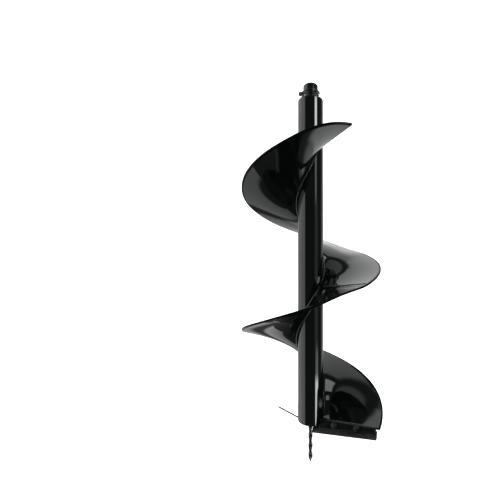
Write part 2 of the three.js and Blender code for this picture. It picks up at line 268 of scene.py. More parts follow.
def enamel(name, shades, sheen, peel, ripple=0.0, gloss=0.5):
    """Gloss black enamel with a faint orange peel. ripple adds the finer unevenness of a weld."""
    material, tree, shader = new_material(name)
    clouds = object_noise(tree, 9, 4)
    wear_and_highlight = worn_edges_and_highlight(tree)
    base = blend_colours(tree, spread(tree, clouds, 0, 1), *shades)
    # Blends towards the lighter enamel where the paint is worn, and over the blade holder as a painted
    # highlight.
    tree.links.new(blend_colours(tree, wear_and_highlight, base, ENAMEL_WEAR_AND_HIGHLIGHT), shader.inputs["Base Color"])
    smears = object_noise(tree, 26, 5, 0.6)
    rough = combine(tree, "ADD", spread(tree, smears, *sheen), combine(tree, "MULTIPLY", wear_and_highlight, 0.3))
    tree.links.new(rough, shader.inputs["Roughness"])
    shader.inputs["IOR"].default_value = 1.5
    shader.inputs["Specular IOR Level"].default_value = gloss
    shader.inputs["Specular Tint"].default_value = (*ENAMEL_TINT, 1)
    heights = [
        (object_noise(tree, 260, 2), peel, 0.3 * MM),
        (object_noise(tree, 38, 3), peel, 1.2 * MM),
    ]
    if ripple:
        heights.append((object_noise(tree, 700, 4, 0.65), ripple, 0.4 * MM))
    bump(tree, shader, heights)
    return material


def ground_steel(name, shades, sheen):
    """Black paint on ground steel: fine grinding lines, thin where the edge was sharpened."""
    material, tree, shader = new_material(name)
    wear_and_highlight = worn_edges_and_highlight(tree)
    clouds = object_noise(tree, 14, 5, 0.6)
    base = blend_colours(tree, spread(tree, clouds, 0, 1), *shades)
    tree.links.new(blend_colours(tree, wear_and_highlight, base, WORN_STEEL), shader.inputs["Base Color"])
    tree.links.new(combine(tree, "MULTIPLY", wear_and_highlight, 0.7), shader.inputs["Metallic"])
    tree.links.new(spread(tree, clouds, *sheen), shader.inputs["Roughness"])
    shader.inputs["IOR"].default_value = 1.5
    shader.inputs["Coat Weight"].default_value = 0.35
    shader.inputs["Coat Roughness"].default_value = 0.1
    lines = object_noise(tree, 60, 3, 0.7, stretch=(3, 3, 40))
    bump(tree, shader, [(lines, 0.12, 0.25 * MM), (object_noise(tree, 300, 2), 0.06, 0.3 * MM)])
    return material


def plated_steel(name, shades, sheen):
    """Zinc-plated or oiled bare steel."""
    material, tree, shader = new_material(name)
    clouds = object_noise(tree, 120, 4, 0.6)
    base = blend_colours(tree, spread(tree, clouds, 0, 1), *shades)
    tree.links.new(base, shader.inputs["Base Color"])
    tree.links.new(spread(tree, clouds, *sheen), shader.inputs["Roughness"])
    shader.inputs["Metallic"].default_value = 0.9
    bump(tree, shader, [(object_noise(tree, 1400, 3), 0.08, 0.1 * MM)])
    return material


# The lighter enamel that worn paint shows; on the blade holder it is a painted highlight.
ENAMEL_WEAR_AND_HIGHLIGHT = (0.10, 0.105, 0.10)
WORN_STEEL = (0.16, 0.16, 0.155)
ENAMEL_TINT = (0.92, 1.0, 0.985)
ENAMEL_SHADES = ((0.0018, 0.0026, 0.0026), (0.0032, 0.0045, 0.0043))
WELD_SHADES = ((0.002, 0.0028, 0.0027), (0.004, 0.005, 0.0048))
BLADE_SHADES = ((0.006, 0.0075, 0.0075), (0.010, 0.012, 0.0118))
BOLT_SHADES = ((0.03, 0.032, 0.032), (0.07, 0.072, 0.07))
BARE_SHADES = ((0.25, 0.25, 0.25), (0.4, 0.4, 0.4))
ZINC_SHADES = ((0.03, 0.033, 0.033), (0.075, 0.078, 0.076))

BLACK_ENAMEL = enamel("black_enamel", ENAMEL_SHADES, sheen=(0.025, 0.08), peel=0.03)
RIM_ENAMEL = enamel("rim_enamel", ENAMEL_SHADES, sheen=(0.10, 0.20), peel=0.03, gloss=0.04)
WELD_ENAMEL = enamel("weld_enamel", WELD_SHADES, sheen=(0.10, 0.24), peel=0.06, ripple=0.10)
BLADE_STEEL = ground_steel("blade_steel", BLADE_SHADES, sheen=(0.12, 0.26))
BOLT_STEEL = plated_steel("bolt_steel", BOLT_SHADES, sheen=(0.28, 0.45))
BARE_STEEL = plated_steel("bare_steel", BARE_SHADES, sheen=(0.25, 0.4))
ZINC_STEEL = plated_steel("zinc_steel", ZINC_SHADES, sheen=(0.2, 0.34))


# ---- Mesh tools --------------------------------------------------------------------------------


def finish_piece(name, mesh, material, body="auger", replaces=None, sharp=35, wear_and_highlight=None):
    """Makes the object, shades it, hangs it on its body and hides any CAD part that it replaces."""
    mesh.materials.clear()
    mesh.materials.append(material)
    mesh.shade_smooth()
    mesh.set_sharp_from_angle(angle=math.radians(sharp))
    mesh = evenly_shaded(mesh)
    # Per-point attribute for the shaders: real wear at edges and tips, and on the blade holder a painted
    # highlight.
    values = mesh.attributes.new("wear_and_highlight", "FLOAT", "POINT")
    if wear_and_highlight is not None:
        for i, vertex in enumerate(mesh.vertices):
            values.data[i].value = wear_and_highlight(vertex.co)
    piece = placed(name, mesh)
    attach(piece, body)
    if replaces:
        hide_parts(replaces)
    return piece


def placed(name, data):
    """A new object in the scene."""
    item = bpy.data.objects.new(name, data)
    bpy.context.scene.collection.objects.link(item)
    return item


def settled(item):
    """The mesh of an object with its modifiers applied. The object itself goes."""
    bpy.context.view_layer.update()
    graph = bpy.context.evaluated_depsgraph_get()
    mesh = bpy.data.meshes.new_from_object(item.evaluated_get(graph))
    bpy.data.objects.remove(item)
    return mesh


def evenly_shaded(mesh):
    """Weighs the smooth shading by area, so that narrow eased edges don't tilt the light on flat faces."""
    item = placed("shaded", mesh)
    modifier = item.modifiers.new("weigh", "WEIGHTED_NORMAL")
    modifier.keep_sharp = True
    modifier.weight = 90
    return settled(item)


def lofted(name, sections, closed=False):
    """A mesh through rows of points, each row a closed loop. The ends are capped unless closed."""
    count = len(sections[0])
    rows = len(sections)
    points = [p for section in sections for p in section]
    faces = []
    for row in range(rows if closed else rows - 1):
        here = row * count
        there = ((row + 1) % rows) * count
        for i in range(count):
            j = (i + 1) % count
            faces.append((here + i, here + j, there + j, there + i))
    if not closed:
        faces.append(tuple(range(count - 1, -1, -1)))
        faces.append(tuple(range((rows - 1) * count, rows * count)))
    mesh = bpy.data.meshes.new(name)
    mesh.from_pydata([tuple(p) for p in points], [], faces)
    return outward(mesh)


def outward(mesh):
    """Points every face out."""
    form = bmesh.new()
    form.from_mesh(mesh)
    bmesh.ops.recalc_face_normals(form, faces=form.faces)
    form.to_mesh(mesh)
    form.free()
    return mesh


def rounded(profile, radius, steps=4):
    """A closed outline with each of its corners turned into an arc of about that radius."""
    result = []
    count = len(profile)
    for i, point in enumerate(profile):
        corner = Vector(point)
        before = Vector(profile[i - 1]) - corner
        after = Vector(profile[(i + 1) % count]) - corner
        reach = min(radius, 0.45 * before.length, 0.45 * after.length)
        start = corner + before.normalized() * reach
        end = corner + after.normalized() * reach
        for k in range(steps + 1):
            t = k / steps
            result.append((1 - t) ** 2 * start + 2 * t * (1 - t) * corner + t * t * end)
    return result


def turned(name, profile, radius, segments):
    """A body turned about Z from a closed outline of (radius, height), with eased corners."""
    outline = rounded(profile, radius)
    sections = []
    for i in range(segments):
        angle = TAU * i / segments
        sections.append([(p[0] * math.cos(angle), p[0] * math.sin(angle), p[1]) for p in outline])
    return lofted(name, sections, closed=True)


def cut(mesh, cutter):
    """The mesh less the cutter, by an exact boolean."""
    kept = placed("kept", mesh)
    removed = placed("removed", cutter)
    modifier = kept.modifiers.new("cut", "BOOLEAN")
    modifier.operation = "DIFFERENCE"
    modifier.solver = "EXACT"
    modifier.object = removed
    result = settled(kept)
    bpy.data.objects.remove(removed)
    return result


def eased(mesh, width, segments):
    """Rounds the mesh's hard edges."""
    item = placed("eased", mesh)
    modifier = item.modifiers.new("ease", "BEVEL")
    modifier.width = width
    modifier.segments = segments
    modifier.limit_method = "ANGLE"
    modifier.angle_limit = math.radians(35)
    return settled(item)


def circle(radius, count):
    """Points evenly round a circle, as (x, y)."""
    return [(radius * math.cos(TAU * i / count), radius * math.sin(TAU * i / count)) for i in range(count)]


def cylinder(name, start, end, radius, segments):
    """A plain rod between two points."""
    along = Vector(end) - Vector(start)
    turn = along.to_track_quat("Z", "Y").to_matrix().to_4x4()
    place = Matrix.Translation(Vector(start)) @ turn
    sections = []
    for height in (0, along.length):
        sections.append([place @ Vector((x, y, height)) for x, y in circle(radius, segments)])
    return lofted(name, sections)


def flat_plate(name, outline, bottom, thickness, holes, ease):
    """A plate cut from sheet: an outline in XY with round holes and eased edges."""
    curve = bpy.data.curves.new(name, "CURVE")
    curve.dimensions = "2D"
    curve.fill_mode = "BOTH"
    curve.extrude = thickness / 2 - ease
    curve.bevel_depth = ease
    curve.bevel_resolution = 2
    curve.offset = -ease
    loops = [[(x, y) for x, y in outline]]
    for x, y, radius in holes:
        loops.append([(x + across, y + up) for across, up in circle(radius, 32)])
    for loop in loops:
        spline = curve.splines.new("POLY")
        spline.points.add(len(loop) - 1)
        for point, (x, y) in zip(spline.points, loop):
            point.co = (x, y, 0, 1)
        spline.use_cyclic_u = True
    mesh = settled(placed(name, curve))
    mesh.transform(Matrix.Translation((0, 0, bottom + thickness / 2)))
    return welded(mesh)


def welded(mesh, distance=0.005 * MM):
    """Merges points that lie together, so that the mesh is one closed skin."""
    form = bmesh.new()
    form.from_mesh(mesh)
    bmesh.ops.remove_doubles(form, verts=form.verts, dist=distance)
    bmesh.ops.recalc_face_normals(form, faces=form.faces)
    form.to_mesh(mesh)
    form.free()
    return mesh


def joined(name, meshes):
    """One mesh out of several."""
    form = bmesh.new()
    for mesh in meshes:
        form.from_mesh(mesh)
    whole = bpy.data.meshes.new(name)
    form.to_mesh(whole)
    form.free()
    return whole


# ---- Shaft and drive end ----------------------------------------------------------------------


def build_shaft():
    low, high = shaft_low[2], shaft_high[2]
    outline = [(TUBE_BORE, low), (SHAFT_RADIUS, low), (SHAFT_RADIUS, high), (TUBE_BORE, high)]
    tube = turned("shaft_tube", outline, 0.7 * MM, 160)
    finish_piece("shaft_tube_fine", tube, BLACK_ENAMEL, replaces="shaft_tube")


def build_drive_end():
    low = socket_low[2]
    socket = turned("socket", [
        (BORE_RADIUS, low),
        (NECK_RADIUS, low),
        (NECK_RADIUS, -SOCKET_RIM_EASE),
        (NECK_RADIUS - SOCKET_RIM_EASE, 0),
        (BORE_RADIUS + BORE_LEAD, 0),
        (BORE_RADIUS, -BORE_LEAD),
    ], 0.4 * MM, 128)
    reach = NECK_RADIUS + 5 * MM
    hole = cylinder("hole", (-reach, 0, PIN_Z), (reach, 0, PIN_Z), PIN_HOLE_RADIUS, 64)
    socket = cut(socket, hole)
    finish_piece("drive_socket_fine", socket, BLACK_ENAMEL, replaces="drive_socket")

    spigot = TUBE_BORE - GAP
    inner = NECK_RADIUS + GAP
    seat = shaft_high[2] + GAP
    cone = turned("cone", [
        (inner, cone_high[2]),
        (inner, cone_low[2]),
        (spigot, cone_low[2]),
        (spigot, seat),
        (SHAFT_RADIUS, seat),
        (SHAFT_RADIUS, seat + SHOULDER_STEP),
        (SHOULDER_TOP_RADIUS, cone_high[2]),
    ], 1.0 * MM, 160)
    finish_piece("shoulder_cone_fine", cone, BLACK_ENAMEL,
                 replaces="shoulder_cone", sharp=50)

    low, high = ring_low[2], ring_high[2]
    ring = turned("ring", [(inner, low), (spigot, low), (spigot, high), (inner, high)], 0.6 * MM, 96)
    finish_piece("centring_ring_fine", ring, BARE_STEEL, replaces="centring_ring")


def bead_ring(name, radius, height, size, lean, replaces, ripples=46):
    """A weld bead run once round the shaft, with the overlapping ripples of a hand weld."""
    steps = ripples * 6
    sides = 12
    sections = []
    for i in range(steps):
        angle = TAU * i / steps
        section = []
        for k in range(sides):
            around = TAU * k / sides
            phase = angle * ripples + 0.9 * math.cos(around - lean)
            drift = noise.noise((math.cos(angle) * 3, math.sin(angle) * 3, 0))
            reach = size * (1 + 0.07 * math.cos(phase) + 0.05 * drift)
            out = radius + reach * math.cos(around)
            section.append((out * math.cos(angle), out * math.sin(angle), height + reach * math.sin(around)))
        sections.append(section)
    mesh = lofted(name, sections, closed=True)
    finish_piece(name, mesh, WELD_ENAMEL, replaces=replaces, sharp=60)


def build_ring_welds():
    middle = (neck_weld_low[2] + neck_weld_high[2]) / 2
    bead_ring("neck_weld_bead", NECK_RADIUS + 1.0 * MM, middle - 0.2 * MM, 1.9 * MM, 0.8, "neck_weld")
    seat = shaft_high[2] + 0.1 * MM
    bead_ring("shoulder_weld_bead", SHAFT_RADIUS - 1.25 * MM, seat, 1.2 * MM, 1.2, None, 70)
    top = collar_high[2] - 1.0 * MM
    bead_ring("collar_weld_bead", collar_high[0] - 0.5 * MM, top, 1.3 * MM, 5.5, None, 28)


# ---- Lower end: plug, collar and twisted pilot -----------------------------------------------


def build_plug_and_collar():
    hole = PILOT_SHANK + GAP
    spigot = TUBE_BORE - GAP
    low, high = plug_low[2], plug_high[2]
    plug = turned("plug", [(hole, low), (spigot, low), (spigot, high), (hole, high)], 0.8 * MM, 96)
    finish_piece("end_plug_fine", plug, BLACK_ENAMEL, replaces="end_plug")

    top, low = collar_high[2], collar_low[2]
    outer = collar_high[0]
    slope = 3 * MM
    outline = [(hole, low), (hole + slope, low), (outer, top - slope), (outer, top), (hole, top)]
    collar = turned("collar", outline, 0.8 * MM, 96)
    finish_piece("pilot_collar_fine", collar, BLACK_ENAMEL,
                 replaces="pilot_collar", sharp=50)


def pilot_taper(above_tip):
    """How much the bar narrows towards its rounded nose."""
    nose = max(0, 1 - above_tip / PILOT_TIP)
    bulge = math.sqrt(max(0, 1 - nose ** 1.6)) * (1 - 0.25 * nose)
    return max(bulge, 0.25 * nose, 0.12)


def pilot_section(z, above_tip):
    """The pilot's outline at a height: a round shank above, a twisted flat bar below."""
    flat = min(1, max(0, (PILOT_BAR_TOP - z) / PILOT_BLEND))
    taper = pilot_taper(above_tip)
    turn = TAU * max(0, PILOT_BAR_TOP - z) / PILOT_TURN
    sides = 32
    section = []
    for k in range(sides):
        around = TAU * k / sides
        x_bar = math.copysign(abs(math.cos(around)) ** PILOT_CORNER * PILOT_HALF_WIDTH, math.cos(around))
        y_bar = math.copysign(abs(math.sin(around)) ** PILOT_CORNER * PILOT_HALF_THICK, math.sin(around))
        x = taper * ((1 - flat) * PILOT_SHANK * math.cos(around) + flat * x_bar)
        y = taper * ((1 - flat) * PILOT_SHANK * math.sin(around) + flat * y_bar)
        section.append((x * math.cos(turn) - y * math.sin(turn), x * math.sin(turn) + y * math.cos(turn), z))
    return section


def build_pilot():
    tip = pilot_low[2]
    length = pilot_high[2] - tip
    steps = 240
    heights = [length * i / steps for i in range(steps + 1)]
    mesh = lofted("pilot", [pilot_section(tip + height, height) for height in heights])

    def wear_and_highlight(point):
        near_tip = 1 - (point.z - tip) / (2 * PILOT_TIP)
        return max(0, min(1, near_tip))

    finish_piece("pilot_point_fine", mesh, BLADE_STEEL,
                 replaces="pilot_point", sharp=50, wear_and_highlight=wear_and_highlight)


# ---- Lock pin and bail -------------------------------------------------------------------------


def build_lock_pin():
    tail = pin_high[0]
    start = PIN_HEAD_START - 1 * MM
    chamfer = 0.8 * MM
    core = 0.4 * MM
    rod = turned("rod", [
        (core, start),
        (PIN_RADIUS, start),
        (PIN_RADIUS, tail - 2 * chamfer),
        (PIN_RADIUS - chamfer, tail),
        (core, tail),
    ], 0.3 * MM, 48)
    rod.transform(Matrix.Translation((0, 0, PIN_Z)) @ Matrix.Rotation(math.pi / 2, 4, "Y"))

    left, right = pin_low[0], PIN_HEAD_START
    corners = [
        (left, -PIN_HEAD_HALF_WIDTH),
        (right, -PIN_HEAD_HALF_WIDTH),
        (right, PIN_HEAD_HALF_WIDTH),
        (left, PIN_HEAD_HALF_WIDTH),
    ]
    outline = rounded(corners, 2.2 * MM, 6)
    wire_hole = (HINGE_X, 0, WIRE + 0.35 * MM)
    head = flat_plate("head", outline, PIN_Z - PIN_HEAD_HEIGHT / 2, PIN_HEAD_HEIGHT, [wire_hole], 0.5 * MM)
    for vertex in head.vertices:
        outwards = max(0, (right - vertex.co.x) / (right - left))
        vertex.co.z = PIN_Z + (vertex.co.z - PIN_Z) * (1 - 0.4 * outwards)
    mesh = joined("pin", [rod, head])
    finish_piece("lock_pin_fine", mesh, ZINC_STEEL, "lock_pin", "lock_pin", 40)


def build_lock_bail():
    """Spring wire: up through the pin's head, under it, and round the front of the neck."""
    head_bottom = PIN_Z - PIN_HEAD_HEIGHT / 2
    below = head_bottom - WIRE - 1.2 * MM
    arc_x = HINGE_X + BAIL_RADIUS
    points = [
        (HINGE_X, 0, PIN_Z + PIN_HEAD_HEIGHT / 2 + 2 * MM),
        (HINGE_X, 0, PIN_Z),
        (HINGE_X, 0, head_bottom),
        (HINGE_X, -1.4 * MM, below + 0.3 * MM),
    ]
    for degrees in range(190, 359, 12):
        angle = math.radians(degrees)
        rise = (PIN_Z - below) * (degrees - 180) / 180
        points.append((arc_x + BAIL_RADIUS * math.cos(angle), BAIL_RADIUS * math.sin(angle), below + rise))
    curve = bpy.data.curves.new("bail", "CURVE")
    curve.dimensions = "3D"
    curve.bevel_depth = WIRE
    curve.bevel_resolution = 6
    curve.use_fill_caps = True
    curve.resolution_u = 8
    spline = curve.splines.new("NURBS")
    spline.points.add(len(points) - 1)
    for target, point in zip(spline.points, points):
        target.co = (*point, 1)
    spline.use_endpoint_u = True
    spline.order_u = 3
    mesh = settled(placed("bail", curve))
    mesh = eased(welded(mesh), 0.4 * MM, 3)
    finish_piece("lock_bail_fine", mesh, ZINC_STEEL, "lock_bail", "lock_bail", 50)


# ---- Helical flight ----------------------------------------------------------------------------


def swell(degrees, middle, span):
    """1 at the middle of a wave, easing to 0 a span away on either side."""
    past = min(1, abs(degrees - middle) / span)
    return math.cos(past * math.pi / 2) ** 2


def dish_at(degrees):
    """How much higher the rim stands than the root."""
    past = degrees - SPRING_ANGLE
    if past >= 0:
        rise = DISH + SPRING - SPRING_DROOP * past * past
    else:
        rise = DISH + SPRING * swell(degrees, SPRING_ANGLE, SPRING_SPAN)
    for middle, height, span in RIM_WAVES:
        rise += height * swell(degrees, middle, span)
    return rise


def rim_at(degrees):
    """The flight's outer radius."""
    return FLIGHT_RADIUS + FLARE * swell(degrees, FLARE_ANGLE, FLARE_SPAN)


def share_out(radius):
    """0 at the shaft and 1 at the flight's rim."""
    return (radius - SHAFT_RADIUS) / (FLIGHT_RADIUS - SHAFT_RADIUS)


def flight_z(radius, degrees):
    """The height of the middle of the plate."""
    share = share_out(radius)
    root = ROOT_SPRING * swell(degrees, FLIGHT_TOP_ANGLE, ROOT_SPRING_SPAN)
    return FLIGHT_DATUM_Z + PITCH * degrees / 360 + dish_at(degrees) * share + root * (1 - share)


def steepness(radius, degrees):
    """Turns a height square to the sloping plate into a vertical one."""
    rise = flight_z(radius, degrees + 1) - flight_z(radius, degrees - 1)
    return math.hypot(1, rise / (math.radians(2) * radius))


def on_flight(radius, degrees, lift, waviness=WAVINESS):
    """A point that stands off the plate's middle by lift, square to its slope."""
    z = flight_z(radius, degrees) + lift * steepness(radius, degrees)
    angle = math.radians(degrees)
    x, y = radius * math.cos(angle), radius * math.sin(angle)
    point = Vector((x, y, z))
    point.z += waviness * share_out(radius) * noise.noise(point * WAVES_PER_METRE)
    return point


def flight_outline(rim):
    """The plate's section as (radius, lift): smooth faces, eased corners at the rim."""
    half = PLATE / 2
    ease = 0.9 * MM
    inner_steps = 26
    band_start = rim - RIM_BAND
    faces = [ROOT_RADIUS + (band_start - ROOT_RADIUS) * i / inner_steps for i in range(inner_steps + 1)]
    faces.append(rim - ease)
    over = [(radius, half) for radius in faces]
    under = [(radius, -half) for radius in reversed(faces)]
    corner = []
    for k in range(1, 5):
        angle = math.pi / 2 * (1 - k / 4)
        corner.append((rim - ease + ease * math.cos(angle), half - ease + ease * math.sin(angle)))
    lower_corner = [(radius, -lift) for radius, lift in reversed(corner)]
    return over + corner + lower_corner + under


def build_flight(name, top, bottom):
    steps = 228
    sections = []
    for i in range(steps + 1):
        degrees = bottom + (top - bottom) * i / steps
        outline = flight_outline(rim_at(degrees) - 0.05 * MM)
        sections.append([on_flight(radius, degrees, lift) for radius, lift in outline])
    mesh = lofted(name, sections)
    piece = finish_piece(f"{name}_fine", mesh, BLACK_ENAMEL, replaces=name, sharp=38)
    dull_rim(piece.data)


def dull_rim(plate):
    """Gives a flight plate's sheared rim its thin, dull paint."""
    allowance = 0.2 * MM
    plate.materials.append(RIM_ENAMEL)
    for face in plate.polygons:
        x, y, z = face.center
        degrees = math.degrees(math.atan2(y, x))
        turns = round((z - flight_z(FLIGHT_RADIUS, degrees)) / PITCH)
        band_start = rim_at(degrees + 360 * turns) - RIM_BAND
        if math.hypot(x, y) > band_start - allowance:
            face.material_index = 1


def ripple_bead(name, path, side, upward, size, spacing, length, replaces):
    """A weld bead along a path of share 0 to 1, with overlapping ripples.

    side and upward give the two directions that its section lies in.
    """
    ripples = length / spacing
    steps = int(ripples * 6)
    sides = 12
    sections = []
    for i in range(steps + 1):
        share = i / steps
        middle = path(share)
        fade = min(1, 12 * min(share, 1 - share) + 0.25)
        section = []
        for k in range(sides):
            around = TAU * k / sides
            phase = TAU * ripples * share + 1.0 * math.cos(around - 0.8)
            drift = noise.noise((share * length * 60, 2.0, 5.0))
            reach = size * (1 + 0.075 * math.cos(phase) + 0.10 * drift) * fade
            across = side(share) * reach * math.cos(around)
            section.append(middle + across + upward(share) * reach * math.sin(around))
        sections.append(section)
    mesh = lofted(name, sections)
    finish_piece(name, mesh, WELD_ENAMEL, replaces=replaces, sharp=60)


def build_root_weld(name, top, bottom, face, replaces):
    """The bead between the flight's root and the shaft: face is 1 above the plate and -1 below it."""
    margin = 3.0
    radius = SHAFT_RADIUS + 1.7 * MM

    def degrees_at(share):
        return bottom + margin + (top - bottom - 2 * margin) * share

    def path(share):
        return on_flight(radius, degrees_at(share), face * (PLATE / 2 + 1.4 * MM), waviness=0)

    def side(share):
        angle = math.radians(degrees_at(share))
        return Vector((math.cos(angle), math.sin(angle), 0))

    def upward(share):
        ahead = (path(min(1, share + 0.001)) - path(max(0, share - 0.001))).normalized()
        return ahead.cross(side(share)) * -1

    length = math.hypot(TAU * radius, PITCH) * (top - bottom) / 360
    ripple_bead(name, path, side, upward, ROOT_BEAD, 3.2 * MM, length, replaces)


def build_seam_weld():
    inner, outer = SHAFT_RADIUS + 4 * MM, FLIGHT_RADIUS - 1.5 * MM

    def path(share):
        return on_flight(inner + (outer - inner) * share, SEAM_ANGLE, PLATE / 2 - 0.3 * MM, waviness=0)

    def side(_share):
        angle = math.radians(SEAM_ANGLE)
        return Vector((-math.sin(angle), math.cos(angle), 0)) * 1.6

    def upward(_share):
        return Vector((0, 0, 0.8))

    ripple_bead("flight_seam_bead", path, side, upward, SEAM_BEAD, 2 * SEAM_BEAD, outer - inner,
                "flight_seam_weld")


def build_flights():
    plates = (("upper", FLIGHT_TOP_ANGLE, SEAM_ANGLE), ("lower", SEAM_ANGLE, FLIGHT_BOTTOM_ANGLE))
    for place, top, bottom in plates:
        build_flight(f"flight_{place}", top, bottom)
        build_root_weld(f"root_bead_{place}", top, bottom, 1, f"root_weld_{place}")
        build_root_weld(f"root_bead_{place}_under", top, bottom, -1, None)
    build_seam_weld()


# ---- Cutting end -------------------------------------------------------------------------------


def blade_frame(start, plan_angle, rise, rake):
    """X runs out along the cutting edge, Y up the blade's face and Z out of the face."""
    ahead = Vector((math.cos(plan_angle), math.sin(plan_angle), 0))
    aside = Vector((-math.sin(plan_angle), math.cos(plan_angle), 0))
    up = Vector((0, 0, 1))
    along = ahead * math.cos(rise) + up * math.sin(rise)
    back = aside * math.cos(rake) + up * math.sin(rake)
    back = (back - along * back.dot(along)).normalized()
    out = along.cross(back)
    matrix = Matrix((along, back, out)).transposed().to_4x4()
    matrix.translation = start
    return matrix


def chiselled(mesh, thickness, bevel):
    """Grinds the underside of the edge away."""
    land = 0.8 * MM
    normal = Vector((0, -(thickness - land), -bevel)).normalized()
    form = bmesh.new()
    form.from_mesh(mesh)
    parts = form.verts[:] + form.edges[:] + form.faces[:]
    edge = (0, 0, -land)
    split = bmesh.ops.bisect_plane(form, geom=parts, plane_co=edge, plane_no=normal, clear_outer=True)
    edges = [e for e in split["geom_cut"] if isinstance(e, bmesh.types.BMEdge)]
    bmesh.ops.holes_fill(form, edges=edges)
    bmesh.ops.recalc_face_normals(form, faces=form.faces)
    form.to_mesh(mesh)
    form.free()
    return mesh


def flight_end(along):
    """How far up the blade's face the flight's square end stands."""
    return FLIGHT_END_HEIGHT - FLIGHT_END_FALL * (along - FLIGHT_END_START)


def clear_of_shaft(mesh):
    """Cuts a piece clear of the shaft's lower end."""
    inner, outer = 1 * MM, SHAFT_RADIUS + GAP
    low, high = shaft_low[2] - GAP, shaft_low[2] + 60 * MM
    outline = [(inner, low), (outer, low), (outer, high), (inner, high)]
    return cut(mesh, turned("clearance", outline, 0.1 * MM, 160))


def build_main_blade(place, holes):
    back = [(x, flight_end(x) - 4 * MM) for x in (BLADE_LENGTH, BLADE_SHAFT_SIDE)]
    outline = [(0, 0), (BLADE_LENGTH, 0), *back, (0, 12 * MM)]
    blade = flat_plate("blade", outline, -BLADE_PLATE, BLADE_PLATE, holes, 0.25 * MM)
    chiselled(blade, BLADE_PLATE, 7 * MM)
    blade.transform(place)
    inverse = place.inverted()

    def wear_and_highlight(point):
        height = (inverse @ point).y
        return max(0, 1 - height / (2.5 * MM)) * 0.8

    blade = clear_of_shaft(blade)
    finish_piece("main_blade_fine", blade, BLADE_STEEL, replaces="main_blade", wear_and_highlight=wear_and_highlight)


def build_holder(place, holes):
    back = [(x, flight_end(x) - 1.8 * MM) for x in (HOLDER_LENGTH, BLADE_SHAFT_SIDE)]
    outline = [(BLADE_SHAFT_SIDE, 7.5 * MM), (HOLDER_LENGTH, 11 * MM), *back]
    holder = flat_plate("holder", outline, GAP, HOLDER_PLATE, holes, 0.5 * MM)
    holder.transform(place)
    # The even 0.12 over the holder is a painted highlight: it lightens the whole holder to stand for the
    # light band that its face reflects.
    finish_piece("blade_holder_fine", clear_of_shaft(holder), BLACK_ENAMEL,
                 replaces="blade_holder", wear_and_highlight=lambda _point: 0.12)


def build_holder_weld(place):
    """The bead that joins the holder's back edge to the flight's square end."""
    length = HOLDER_LENGTH - BLADE_SHAFT_SIDE

    def path(share):
        x = BLADE_SHAFT_SIDE + (length - 2 * MM) * share
        return place @ Vector((x, flight_end(x) - 0.9 * MM, 2.6 * MM))

    turn = place.to_3x3()
    side = turn @ Vector((0, 1.15, 0))
    upward = turn @ Vector((0, 0, 0.8))
    ripple_bead("holder_bead", path, lambda _share: side, lambda _share: upward, 2.3 * MM, 3.0 * MM,
                length, None)


def build_cutting_end():
    place = blade_frame(EDGE_START, EDGE_PLAN_ANGLE, EDGE_RISE, BLADE_RAKE)
    holes = [(x, y, BOLT_RADIUS + 0.4 * MM) for x, y in BLADE_BOLTS]
    build_main_blade(place, holes)
    build_holder(place, holes)
    for number, (x, y) in enumerate(BLADE_BOLTS, 1):
        build_fastening(place @ Matrix.Translation((x, y, 0)), number)
    build_holder_weld(place)


def hex_body(name, bottom, top, hole=0.0, chamfer=1.0 * MM, crown=(True, True)):
    """A hexagonal head or nut with its corners turned to a cone at each crowned end."""
    samples = 72
    height = top - bottom
    levels = 7
    flats = HEX_ACROSS_FLATS / 2
    corner = flats / math.cos(math.pi / 6)

    def outer(angle, z):
        within = (angle % (TAU / 6)) - TAU / 12
        radius = flats / math.cos(within)
        from_end = min(z - bottom if crown[0] else height, top - z if crown[1] else height)
        limit = corner - max(0, chamfer - from_end * 1.7)
        return min(radius, limit)

    ease = 0.15 * MM
    between = [bottom + height * i / levels for i in range(1, levels)]
    heights = [bottom + ease, *between, top - ease]
    inner = max(hole, 0.05 * MM)
    lead = 0.4 * MM if hole else 0
    inside = [(inner + lead, top), (inner, top - lead), (inner, bottom + lead), (inner + lead, bottom)]
    sections = []
    for i in range(samples):
        angle = TAU * i / samples
        outside = [(outer(angle, z), z) for z in heights]
        outside.insert(0, (outer(angle, bottom) - ease, bottom))
        outside.append((outer(angle, top) - ease, top))
        across, up = math.cos(angle), math.sin(angle)
        sections.append([(radius * across, radius * up, z) for radius, z in outside + inside])
    return welded(lofted(name, sections, closed=True), 0.02 * MM)


def threaded_rod(name, bottom, top, radius, thread_from):
    """A bolt's shank with a rolled thread above thread_from."""
    samples = 36
    rows = int((top - bottom) / (0.125 * THREAD_PITCH))
    sections = []
    for i in range(rows + 1):
        z = bottom + (top - bottom) * i / rows
        section = []
        for k in range(samples):
            angle = TAU * k / samples
            turn = (z / THREAD_PITCH - angle / TAU) % 1
            groove = THREAD_DEPTH * max(0, 1 - abs(2 * turn - 1) * 2)
            if z < thread_from:
                groove = 0
            end_taper = max(0, z - top + 0.8 * MM) * 0.9
            reach = radius - groove - end_taper
            section.append((reach * math.cos(angle), reach * math.sin(angle), z))
        sections.append(section)
    return lofted(name, sections)


